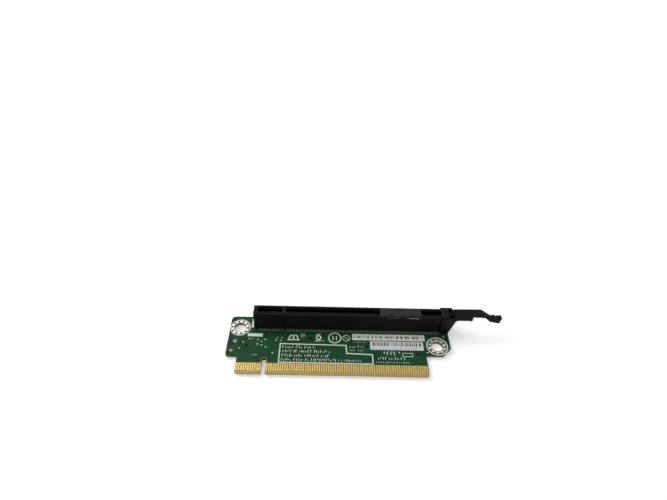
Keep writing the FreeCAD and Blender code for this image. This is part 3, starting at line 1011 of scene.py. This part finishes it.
@dataclass
class Legend:
    """White print on the board, laid out from the left mounting hole."""

    card: CardSizes
    ink: bpy.types.Material
    gauge: float = 0.02
    line: float = 0.55
    ring_radius: float = 4.70
    edge_gap: float = 0.04
    outlines: tuple[Line, ...] = (
        Line(0.55, ((19.2, -8.8), (49.0, -9.1), (49.3, -13.5), (60.8, -13.9), (60.8, -18.9),
                    (19.2, -18.8)), True),
        Line(0.26, ((74.4, -12.8), (78.9, -12.8), (78.9, -14.6), (74.4, -14.6)), True))
    circles: tuple[Circle, ...] = (
        Circle(43.9, -5.0, 2.5, 3.05, 40), Circle(36.5, -5.0, 0.7, 1.35, 32),
        Circle(38.6, -6.6, 0.0, 0.35, 12), Circle(49.2, -5.0, 1.5, 1.8, 32),
        Circle(29.2, -3.9, 0.95, 1.12, 24), Circle(29.2, -3.9, 0.0, 0.32, 12),
        Circle(25.0, -5.2, 0.0, 0.6, 16))
    lines: tuple[Line, ...] = (
        Line(0.45, ((43.1, -3.8), (43.1, -6.2))), Line(0.45, ((44.7, -3.8), (44.7, -6.2))),
        Line(0.5, ((35.2, -3.6), (37.3, -2.9))), Line(0.45, ((35.0, -7.0), (37.6, -6.7))),
        Line(0.32, ((48.3, -4.2), (50.1, -5.8))), Line(0.35, ((85.2, -12.3), (86.4, -12.0))),
        Line(0.55, ((22.6, -6.5), (27.4, -6.5), (26.4, -4.0), (23.6, -4.0)), True))
    fields: tuple[tuple[Point2, Point2], ...] = (
        ((51.9, -6.0), (85.4, -2.45)), ((3.9, -5.0), (10.8, -3.3)))
    rows: tuple[Row, ...] = (
        Row(20.4, -10.5, 34.4, 1.35), Row(20.4, -12.7, 41.6, 1.35), Row(20.4, -15.0, 41.6, 1.4),
        Row(20.2, -17.3, 45.0, 1.4), Row(45.6, -17.4, 55.8, 1.0), Row(63.2, -15.7, 75.2, 1.4),
        Row(62.2, -17.9, 77.5, 0.75), Row(52.4, -7.2, 58.6, 0.6), Row(50.6, -10.1, 52.9, 0.7),
        Row(50.6, -11.8, 52.9, 0.7), Row(54.3, -9.6, 57.4, 1.1), Row(54.6, -11.8, 56.8, 0.7),
        Row(66.0, -13.0, 71.4, 1.8), Row(7.2, -15.2, 9.6, 0.6), Row(4.6, -6.3, 7.0, 0.9))
    stem: float = 0.22
    foot: float = 0.2
    wide_from: float = 0.42
    widths: Point2 = (0.22, 0.6)
    lifts: tuple[float, ...] = (0.0, 0.0, 0.35)
    tops: tuple[float, ...] = (1.0, 1.0, 0.6)
    gaps: tuple[float, ...] = (0.30, 0.42, 0.42, 0.8)
    shortest: float = 0.3

    def rise(self) -> tuple[float, float]:
        """Returns the heights between which the print lies."""
        return self.card.thickness, self.card.thickness + self.gauge

    def draw_outlines(self) -> None:
        """Draws rings round the mounting holes, the stepped frame and a small box."""
        low, high = self.rise()
        sheet = Builder()
        for centre in self.card.holes:
            edge = min(centre[0] - self.card.left_x, self.card.right_x - centre[0])
            outer = min(self.ring_radius + self.line / 2, edge - self.edge_gap)
            sheet.ring(centre, outer - self.line, outer, low, high, 64)
        for line in self.outlines:
            sheet.stroke(line.points, line.width, low, high, line.closed)
        sheet.build("legend_outlines", self.ink, Body.CARD, INK.slot)

    def draw_symbols(self) -> None:
        """Draws plain round and square signs between the slot and the frame."""
        low, high = self.rise()
        sheet = Builder()
        for x, y, inner, outer, sides in self.circles:
            if inner:
                sheet.ring((x, y), inner, outer, low, high, sides)
            else:
                sheet.dot((x, y), outer, low, high, sides)
        for line in self.lines:
            sheet.stroke(line.points, line.width, low, high, line.closed)
        sheet.build("legend_symbols", self.ink, Body.CARD, INK.slot)

    def draw_fields(self) -> None:
        """Draws the solid white fields beside the slot."""
        low, high = self.rise()
        sheet = Builder()
        for near, far in self.fields:
            sheet.bar((*near, low), (*far, high))
        sheet.build("legend_fields", self.ink, Body.CARD, INK.slot)

    def draw_rows(self) -> None:
        """Draws rows of plain strokes of uneven width and height; they spell nothing."""
        low, high = self.rise()
        dice = random.Random(SEED_ROWS)
        sheet = Builder()
        for start, y, end, tall in self.rows:
            foot = y - tall / 2
            for x, wide in spread(start, end, lambda: tall * dice.uniform(*self.widths),
                                  lambda: tall * dice.choice(self.gaps)):
                lift = tall * dice.choice(self.lifts)
                top = tall * dice.choice(self.tops)
                if top - lift < tall * self.shortest:
                    lift = 0.0
                stem, head = tall * self.stem, foot + top
                if wide > tall * self.wide_from:
                    sheet.bar((x, head - stem, low), (x + wide, head, high))
                    sheet.bar((x, foot, low), (x + tall * self.foot, head, high))
                else:
                    sheet.bar((x, foot + lift, low), (x + stem, head, high))
        sheet.build("legend_rows", self.ink, Body.CARD, INK.slot)

    def build(self) -> None:
        """Builds all the print."""
        self.draw_outlines()
        self.draw_symbols()
        self.draw_fields()
        self.draw_rows()


@dataclass
class FieldMarks:
    """Dark plain ticks printed on the white field beside the slot."""

    card: CardSizes
    ink: bpy.types.Material
    start: float = 52.6
    end: float = 82.6
    middle_y: float = -4.2
    tall: float = 1.5
    gauge: float = 0.035
    widths: Point2 = (0.25, 0.75)
    heights: tuple[float, ...] = (1.0, 0.85, 0.35)
    gaps: tuple[float, ...] = (0.35, 0.45, 1.3)
    end_dot: Point2 = (84.3, -3.8)
    dot_radius: float = 0.5

    def build(self) -> None:
        """Builds the ticks and the end dot."""
        dice = random.Random(SEED_TICKS)
        low = self.card.thickness
        high = low + self.gauge
        ticks = Builder()
        for x, wide in spread(self.start, self.end, lambda: dice.uniform(*self.widths),
                              lambda: dice.choice(self.gaps)):
            half = self.tall * dice.choice(self.heights) / 2
            ticks.bar((x, self.middle_y - half, low), (x + wide, self.middle_y + half, high))
        ticks.dot(self.end_dot, self.dot_radius, low, high, 16)
        ticks.build("field_ticks", self.ink, Body.CARD, INK.slot)


@dataclass
class LabelPrint:
    """Bars and ticks on the paper label, set out from the label's own box."""

    ink: bpy.types.Material
    margin: float = 1.1
    gauge: float = 0.012
    end_bar: float = 0.75
    bar_low: float = 0.46
    bar_high: float = 0.88
    row_low: float = 0.12
    row_tops: tuple[float, ...] = (0.28, 0.28, 0.19)
    row_widths: Point2 = (0.12, 0.34)
    row_gaps: tuple[float, ...] = (0.45, 0.6, 1.3)
    bar_widths: tuple[float, ...] = (0.14, 0.22, 0.34, 0.50)
    bar_gaps: tuple[float, ...] = (0.24, 0.34, 0.52, 0.80)

    def build(self) -> None:
        """Builds the upper row of bars and the lower row of ticks."""
        low, high = (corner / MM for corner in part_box("barcode_label"))
        dice = random.Random(SEED_BARS)
        tall = high.y - low.y
        bars = Builder()

        def mark(x: float, wide: float, foot: float, top: float) -> None:
            """Adds one mark, with its foot and top as shares of the label's depth."""
            bars.bar((x, low.y + tall * foot, high.z),
                     (x + wide, low.y + tall * top, high.z + self.gauge))

        start, end = low.x + self.margin, high.x - self.margin
        for x in (start, end - self.end_bar):
            mark(x, self.end_bar, self.bar_low, self.bar_high)
        for x, wide in spread(start + self.end_bar * 1.6, end - self.end_bar * 2,
                              lambda: dice.choice(self.bar_widths),
                              lambda: dice.choice(self.bar_gaps)):
            mark(x, wide, self.bar_low, self.bar_high)
        for x, wide in spread(start, end - self.margin, lambda: dice.uniform(*self.row_widths),
                              lambda: dice.choice(self.row_gaps)):
            mark(x, wide, self.row_low, dice.choice(self.row_tops))
        bars.build("label_bars", self.ink, Body.CARD, PAPER_INK.slot)


@dataclass
class Vias:
    """Plated vias and small pilot holes of the board."""

    card: CardSizes
    tin: bpy.types.Material
    shade: bpy.types.Material
    rim: bpy.types.Material
    radius: float = 0.33
    bore: float = 0.07
    pilot_radius: float = 0.86
    rim_width: float = 0.25
    eye: float = 0.02
    gauge: float = 0.02
    spots: tuple[Point2, ...] = (
        (8.9, -6.7), (12.2, -6.6), (10.6, -7.8), (8.85, -9.2), (10.8, -9.7), (12.75, -10.8),
        (2.3, -8.3), (1.1, -11.7), (16.1, -13.85), (17.15, -6.9), (19.4, -7.0), (17.6, -5.4),
        (19.7, -5.4), (72.9, -12.4))
    pilots: tuple[Point2, ...] = ((3.97, -10.0), (58.3, -9.5), (81.3, -13.1), (32.8, -5.4))

    def build(self) -> None:
        """Builds the lands, dark discs of painted shade for the bores of the vias and the pilot
        holes, and the rims of the pilot holes.
        """
        low = self.card.thickness
        high, dark = low + self.gauge, low + self.gauge / 2
        # The bore discs are painted shade that stands for the dark inside of each via and pilot
        # hole.
        lands, bores, rims = Builder(), Builder(), Builder()
        for spot in self.spots:
            lands.ring(spot, self.bore, self.radius, low, high, 16, self.gauge / 3)
            bores.ring(spot, self.eye, self.bore, low, dark, 10)
        for spot in self.pilots:
            rims.ring(spot, self.pilot_radius, self.pilot_radius + self.rim_width, low, high, 24)
            bores.ring(spot, self.eye, self.pilot_radius, low, dark, 20)
        lands.build("via_lands", self.tin, Body.CARD, TIN.slot)
        bores.build("via_bore_shades", self.shade, Body.CARD, SHADE.slot)
        rims.build("pilot_rims", self.rim, Body.CARD, RIM.slot)


@dataclass
class ContactRow:
    """Row of formed contacts: flat tail on the board, riser, and a spring with a curled nose."""

    card: CardSizes
    metal: bpy.types.Material
    node: str
    side: int
    gauge: float = 0.2
    bend: float = 0.35
    bend_steps: int = 4
    riser_y: float = 1.5
    elbow_z: float = 5.2
    nose_y: float = 0.66
    nose_z: float = 7.1
    nose_points: int = 4
    nose_share: float = 0.72

    def path(self) -> list[Vector]:
        """Returns the contact's middle line as distance from the slot's centre and height."""
        base = self.card.thickness + self.gauge / 2
        line = [(self.card.tail_reach - self.gauge / 2, base), (self.riser_y + self.bend, base)]
        for step in range(1, self.bend_steps + 1):
            turn = math.pi / 2 * step / self.bend_steps
            line.append((self.riser_y + self.bend * (1.0 - math.sin(turn)),
                         base + self.bend * (1.0 - math.cos(turn))))
        line += [(self.riser_y, base + self.elbow_z * 0.6),
                 (self.riser_y - 0.08, base + self.elbow_z)]
        line += [(self.nose_y + out, base + self.nose_z + up)
                 for out, up in ((0.12, -0.45), (0.0, -0.1), (0.1, 0.2), (0.34, 0.42))]
        return [Vector(point) for point in line]

    def build(self) -> None:
        """Builds the row."""
        line = self.path()
        edges: list[tuple[Vector, Vector]] = []
        for i, here in enumerate(line):
            run = (line[min(i + 1, len(line) - 1)] - line[max(i - 1, 0)]).normalized()
            normal = Vector((-run.y, run.x)) * (self.gauge / 2)
            edges.append((here - normal, here + normal))
        nose_from = len(edges) - self.nose_points
        row = Builder()
        for x in self.card.places(self.card.slot_first):
            rings = []
            for i, (lower, upper) in enumerate(edges):
                half = CONTACT_WIDTH / 2 * (self.nose_share if i >= nose_from else 1.0)
                corners = ((-half, lower), (half, lower), (half, upper), (-half, upper))
                rings.append([(x + offset, self.card.slot_y + self.side * spot.x,
                               max(spot.y, self.card.thickness)) for offset, spot in corners])
            row.loft(rings)
        thing = row.build(f"formed_{self.node}", self.metal, Body.CARD, CONTACT.slot)
        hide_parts(self.node)


@dataclass
class SolderJoints:
    """Soldered pads under the contact tails, with a fillet at each tail's end."""

    card: CardSizes
    solder: bpy.types.Material
    pad_width: float = 0.54
    pad_start: float = 2.75
    pad_end: float = 3.95
    pad_edge: float = 0.02
    gauge: float = 0.035
    fillet: float = 0.16
    toe_height: float = 0.01
    foot_share: float = 0.8
    crown_share: float = 0.7

    def build(self) -> None:
        """Builds both rows of pads."""
        low = self.card.thickness
        high = low + self.gauge
        half = self.pad_width / 2
        foot, crown = half * self.foot_share, half * self.crown_share
        joints = Builder()
        for side in (-1, 1):
            reaches = (self.pad_start, self.pad_end, self.card.tail_reach)
            near, far, tip = (self.card.slot_y + side * reach for reach in reaches)
            front, back = min(near, far), max(near, far)
            ends = ((tip, low + self.fillet), (tip + side * self.fillet, high + self.toe_height))
            for x in self.card.places(self.card.slot_first):
                joints.bar((x - half, front, low), (x + half, back, high), self.pad_edge)
                joints.loft([[(x - foot, y, high), (x + foot, y, high),
                              (x + crown, y, top), (x - crown, y, top)] for y, top in ends])
        joints.build("tail_solder", self.solder, Body.CARD, SOLDER.slot)


@dataclass
class HoleBumps:
    """Solder bumps round one mounting hole, with its narrow upper land and its plated wall."""

    card: CardSizes
    solder: bpy.types.Material
    tin: bpy.types.Material
    plated: bpy.types.Material
    name: str
    centre: Point2
    count: int = 10
    turn_share: float = 0.4
    inner: float = 2.88
    outer: float = 4.04
    half_angle: float = 14.2
    height: float = 0.33
    shells: tuple[Point2, ...] = ((0.0, 1.0), (0.55, 0.95), (0.88, 0.78), (1.0, 0.45))
    loop_points: int = 14
    squareness: float = 0.7
    land_outer: float = 3.02
    land_height: float = 0.05
    land_crown: float = 0.02
    bore: float = 2.7
    sides: int = 64

    def bump(self, bearing: float) -> list[list[Point3]]:
        """Shapes one bump as a stack of rounded loops.

        Args:
            bearing: The bump's place round the hole, in radians.

        Returns:
            The loops, from its foot up.
        """
        low = self.card.thickness + self.land_height
        middle, half = (self.inner + self.outer) / 2, (self.outer - self.inner) / 2
        corners = []
        for k in range(self.loop_points):
            angle = 2 * math.pi * k / self.loop_points
            corners.append([math.copysign(abs(part) ** self.squareness, part)
                            for part in (math.cos(angle), math.sin(angle))])
        loops = []
        for lift, scale in self.shells:
            height = low + (self.height - self.land_height) * lift
            loop = []
            for reach, swing in corners:
                radius = middle + half * scale * reach
                turn = bearing + math.radians(self.half_angle) * scale * swing
                loop.append((self.centre[0] + radius * math.cos(turn),
                             self.centre[1] + radius * math.sin(turn), height))
            loops.append(loop)
        return loops

    def build_bumps(self) -> None:
        """Builds the ring of bumps."""
        ring = Builder()
        for i in range(self.count):
            ring.loft(self.bump(2 * math.pi * (i + self.turn_share) / self.count))
        thing = ring.build(f"{self.name}_hole_bumps", self.solder, Body.CARD, SOLDER.slot,
                           smooth=True)
        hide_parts(f"{self.name}_hole_solder")

    def build_lands(self) -> None:
        """Builds the narrow round land on the upper face and the plated wall of the hole."""
        top = self.card.thickness
        land = Builder()
        land.ring(self.centre, self.bore + 0.02, self.land_outer, top, top + self.land_height,
                  self.sides, self.land_crown)
        thing = land.build(f"{self.name}_hole_lands", self.tin, Body.CARD, TIN.slot)
        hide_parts(f"{self.name}_hole_land")
        wall = Builder()
        profile = ((0.01, 0.0), (0.03, 0.3), (0.03, top - 0.2), (0.01, top + 0.04))
        wall.loft([circle(self.centre, self.bore - skin, height, self.sides)
                   for skin, height in profile], caps=False)
        wall.build(f"{self.name}_hole_wall", self.plated, Body.CARD, TIN.slot, smooth=True)

    def build(self) -> None:
        """Builds the bumps, the land and the wall."""
        self.build_bumps()
        self.build_lands()


@dataclass
class Film:
    """Thin pick-up film across the slot's mouth, slightly wavy, with a folded front flap."""

    film: bpy.types.Material
    gauge: float = 0.05
    columns: int = 44
    wave: float = 0.07
    ragged: float = 0.22
    level_points: int = 5

    def push(self, along: float, k: int) -> float:
        """Returns how far the film waves out at a share of its length, at a profile point."""
        swell = math.sin(along * 9.0 + k * 0.8) + 0.6 * math.sin(along * 23.0 + k * 1.7)
        return self.wave * 0.5 * swell / 1.6

    def build(self) -> None:
        """Builds the film inside its CAD node's box."""
        low, high = (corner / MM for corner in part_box("pick_up_film"))
        top = high.z - self.gauge - self.wave
        front = low.y + self.gauge + self.wave
        profile = [(high.y, top), (high.y - 1.2, top + 0.01), (high.y - 2.6, top - 0.02),
                   (front + 1.3, top + 0.01), (front + 0.45, top), (front + 0.12, top - 0.1),
                   (front, top - 0.42), (front - 0.01, top - 0.8), (front, low.z)]
        rings = []
        for i in range(self.columns + 1):
            along = i / self.columns
            x = low.x + (high.x - low.x) * along
            column = [(x, y, z + self.push(along, k)) if k < self.level_points
                      else (x, y - self.push(along, k), z) for k, (y, z) in enumerate(profile)]
            x, y, z = column[-1]
            column[-1] = (x, y, z + max(self.ragged * math.sin(along * 17.0), 0.0))
            rings.append(column)
        sheet = Builder()
        sheet.loft(rings, closed=False, caps=False)
        thing = sheet.build("wavy_film", self.film, Body.CARD, FILM.slot, smooth=True)
        solid = thing.modifiers.new("Gauge", "SOLIDIFY")
        solid.thickness = self.gauge * MM
        solid.offset = 0.0
        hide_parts("pick_up_film")


@dataclass
class EdgeTrim:
    """Narrow plating stubs that run from each finger down both bevels of the card edge."""

    card: CardSizes
    gold: bpy.types.Material
    width: float = 0.26
    bare_tip: float = 0.55
    bevel_length: float = 1.1
    bevel_depth: float = 0.35
    recess: float = 0.05
    overlap: float = 0.1
    gauge: float = 0.015

    def build(self) -> None:
        """Builds the stubs on both faces."""
        stubs = Builder()
        half = self.width / 2
        drop = self.bevel_depth * (1.0 - self.bare_tip / self.bevel_length)
        ends = ((self.card.front_y + self.bare_tip, drop),
                (self.card.front_y + self.bevel_length + self.overlap, 0.0))
        for x in self.card.places(self.card.finger_first):
            for face, inward in ((self.card.thickness - self.recess, -1.0), (self.recess, 1.0)):
                rings = []
                for y, depth in ends:
                    low = face + inward * (depth + self.gauge)
                    high = face + inward * (depth - self.gauge)
                    rings.append([(x - half, y, low), (x + half, y, low),
                                  (x + half, y, high), (x - half, y, high)])
                stubs.loft(rings)
        stubs.build("plating_stubs", self.gold, Body.CARD, GOLD.slot)


@dataclass
class LatchTrim:
    """Grip ridges across the latch's thumb pad, set a little into the surface below them."""

    plastic: bpy.types.Material
    latch: bpy.types.Object
    count: int = 5
    pitch: float = 0.62
    inset: float = 0.55
    radius: float = 0.16
    sunk: float = 0.55
    half_length: float = 0.74
    taper: float = 0.1
    end_share: float = 0.6
    arc_steps: int = 8

    def height(self, x: float, y: float) -> float:
        """Finds the latch's upper surface.

        Args:
            x: Place along the card.
            y: Place across the card.

        Returns:
            Its height.
        """
        above, down = Vector((x * MM, y * MM, 1.0)), Vector((0.0, 0.0, -1.0))
        found, place, _, _ = self.latch.ray_cast(above, down)
        return place.z / MM if found else 0.0

    def build(self) -> None:
        """Builds the ridges."""
        low, high = (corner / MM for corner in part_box("retention_latch"))
        middle = (low.y + high.y) / 2
        turns = [math.pi * k / self.arc_steps for k in range(self.arc_steps + 1)]
        full = self.half_length - self.taper
        ends = ((-self.half_length, self.end_share), (-full, 1.0), (full, 1.0),
                (self.half_length, self.end_share))
        ridges = Builder()
        for i in range(self.count):
            x = high.x - self.inset - i * self.pitch
            foot = self.height(x, middle) - self.radius * self.sunk
            ridges.loft([[(x + self.radius * share * math.cos(turn), middle + along,
                           foot + self.radius * share * math.sin(turn)) for turn in turns]
                         for along, share in ends])
        ridges.build("thumb_ridges", self.plastic, Body.LATCH, LATCH.slot, smooth=True)


class Lamp(NamedTuple):
    """Square soft light: its name, its place and side in metres, and its power in watts."""

    name: str
    place: Point3
    side: float
    power: float


@dataclass
class Studio:
    """Floor, soft lights, sky and camera, in metres."""

    location: Point3 = (0.03873, -0.14410, 0.18149)
    right: Point3 = (0.99959859, 0.0032843, 0.0281404)
    up: Point3 = (-0.02309239, 0.66989092, 0.74210033)
    back: Point3 = (-0.01641372, -0.74245226, 0.66969786)
    lens: float = 26.26
    sensor: float = 36.0
    nearest: float = 0.005
    floor_half: float = 3.0
    floor_cells: int = 4
    floor_z: float = -0.0009
    sky_light: float = 0.38
    aim: Point3 = (0.05, 0.0, 0.0)
    lamps: tuple[Lamp, ...] = (
        Lamp("key", (-0.36, 0.22, 0.59), 0.44, 2.4),
        Lamp("fill", (-0.40, -0.25, 0.60), 0.50, 0.45),
        Lamp("side", (0.60, -0.20, 0.50), 0.60, 0.15))

    def camera(self) -> None:
        """Makes the camera."""
        data = bpy.data.cameras.new("Camera")
        data.lens = self.lens
        data.sensor_width = self.sensor
        data.clip_start = self.nearest
        thing = bpy.data.objects.new("Camera", data)
        bpy.context.scene.collection.objects.link(thing)
        turn = Matrix((self.right, self.up, self.back)).transposed().to_4x4()
        thing.matrix_world = Matrix.Translation(self.location) @ turn
        bpy.context.scene.camera = thing

    def light(self, lamp: Lamp) -> None:
        """Makes one area light that faces the object.

        Args:
            lamp: The light's place, size and power.
        """
        data = bpy.data.lights.new(lamp.name, "AREA")
        data.size = lamp.side
        data.energy = lamp.power
        thing = bpy.data.objects.new(lamp.name, data)
        bpy.context.scene.collection.objects.link(thing)
        turn = (Vector(self.aim) - Vector(lamp.place)).to_track_quat("-Z", "Y")
        thing.matrix_world = Matrix.Translation(lamp.place) @ turn.to_matrix().to_4x4()

    def sky(self) -> None:
        """White behind the object, softer for everything that it lights."""
        world = bpy.data.worlds.new("Sky")
        bpy.context.scene.world = world
        world.use_nodes = True
        nodes = Nodes(world.node_tree)
        background = nodes.tree.nodes["Background"]
        nodes.feed(background.inputs["Color"], WHITE)
        nodes.feed(background.inputs["Strength"],
                   nodes.shown() * (1.0 - self.sky_light) + self.sky_light)

    def floor(self) -> None:
        """Plain pale floor just under the object."""
        mesh = bmesh.new()
        bmesh.ops.create_grid(mesh, x_segments=self.floor_cells, y_segments=self.floor_cells,
                              size=self.floor_half)
        data = bpy.data.meshes.new("floor")
        mesh.to_mesh(data)
        mesh.free()
        thing = bpy.data.objects.new("floor", data)
        bpy.context.scene.collection.objects.link(thing)
        thing.location.z = self.floor_z
        data.materials.append(make_material(FLOOR, paint_floor))

    def build(self) -> None:
        """Builds the whole studio."""
        self.camera()
        self.sky()
        self.floor()
        for lamp in self.lamps:
            self.light(lamp)


def soften(thing: bpy.types.Object, width: float, segments: int) -> None:
    """Rounds the sharp edges of a CAD node with a small bevel.

    Args:
        thing: The node's object.
        width: The bevel's width in millimetres.
        segments: Its steps.
    """
    bevel = thing.modifiers.new("Softened_edges", "BEVEL")
    bevel.width = width * MM
    bevel.segments = segments
    bevel.limit_method = "ANGLE"
    bevel.angle_limit = math.radians(SHARP_DEGREES)
    bevel.use_clamp_overlap = True


def dress_nodes(nodes: dict[str, bpy.types.Object],
                materials: dict[str, bpy.types.Material]) -> None:
    """Gives each CAD node its material, and rounds the edges of the moulded and bent ones.

    Args:
        nodes: The CAD nodes' objects.
        materials: The materials by finish name.
    """
    finishes = {
        "circuit_board": MASK, "slot_housing": MOULDING, "retention_latch": LATCH,
        "front_contacts": CONTACT, "rear_contacts": CONTACT, "edge_fingers_front": GOLD,
        "edge_fingers_back": GOLD, "left_hole_land": TIN, "right_hole_land": TIN,
        "left_hole_solder": SOLDER, "right_hole_solder": SOLDER, "test_pads": COPPER,
        "hold_down_tab": TIN, "pick_up_film": FILM, "barcode_label": PAPER,
    }
    for name, finish in finishes.items():
        data = nodes[name].data
        data.materials.clear()
        data.materials.append(materials[finish.name])
        log.info("node %s: %s", name, finish.name)
    for name, width, segments in (("slot_housing", 0.05, 1), ("retention_latch", 0.12, 2),
                                  ("hold_down_tab", 0.05, 2)):
        soften(nodes[name], width, segments)


def make_materials(card: CardSizes) -> dict[str, bpy.types.Material]:
    """Builds every material.

    Args:
        card: Sizes of the card.

    Returns:
        The materials by finish name.
    """
    sized = {MASK: paint_mask, CONTACT: paint_contact, GOLD: paint_gold}
    plain_ones = {INK: paint_ink, MOULDING: paint_moulding, LATCH: paint_latch, FILM: paint_film}
    plain_ones |= dict.fromkeys((TIN, WALL, SOLDER, COPPER, VIA, RIM), paint_metal)
    # SHADE, the painted hole shade, borrows the paper's fine pattern.
    plain_ones |= dict.fromkeys((PAPER, PAPER_INK, SHADE), paint_paper)
    made = {finish.name: make_material(finish, paint, card) for finish, paint in sized.items()}
    return made | {finish.name: make_material(finish, paint)
                   for finish, paint in plain_ones.items()}


def main() -> None:
    """Builds the whole scene."""
    logging.basicConfig(level=logging.INFO, format="%(name)s: %(message)s")
    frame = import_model()
    bpy.context.scene.view_settings.view_transform = "Standard"
    card = read_card(frame)
    materials = make_materials(card)
    dress_nodes(frame["nodes"], materials)

    Legend(card, materials[INK.name]).build()
    FieldMarks(card, materials[PAPER_INK.name]).build()
    LabelPrint(materials[PAPER_INK.name]).build()
    Vias(card, materials[VIA.name], materials[SHADE.name], materials[RIM.name]).build()
    for node, side in (("front_contacts", -1), ("rear_contacts", 1)):
        ContactRow(card, materials[CONTACT.name], node, side).build()
    # Painted shade: the tail pads take the dark contact metal, not bright solder, for the
    # housing's shadow in front of the slot.
    SolderJoints(card, materials[CONTACT.name]).build()
    for name, centre in zip(("left", "right"), card.holes):
        HoleBumps(card, materials[SOLDER.name], materials[TIN.name], materials[WALL.name], name,
                  centre).build()
    Film(materials[FILM.name]).build()
    EdgeTrim(card, materials[GOLD.name]).build()
    LatchTrim(materials[LATCH.name], frame["nodes"]["retention_latch"]).build()
    Studio().build()


if __name__ == "__main__":
    main()
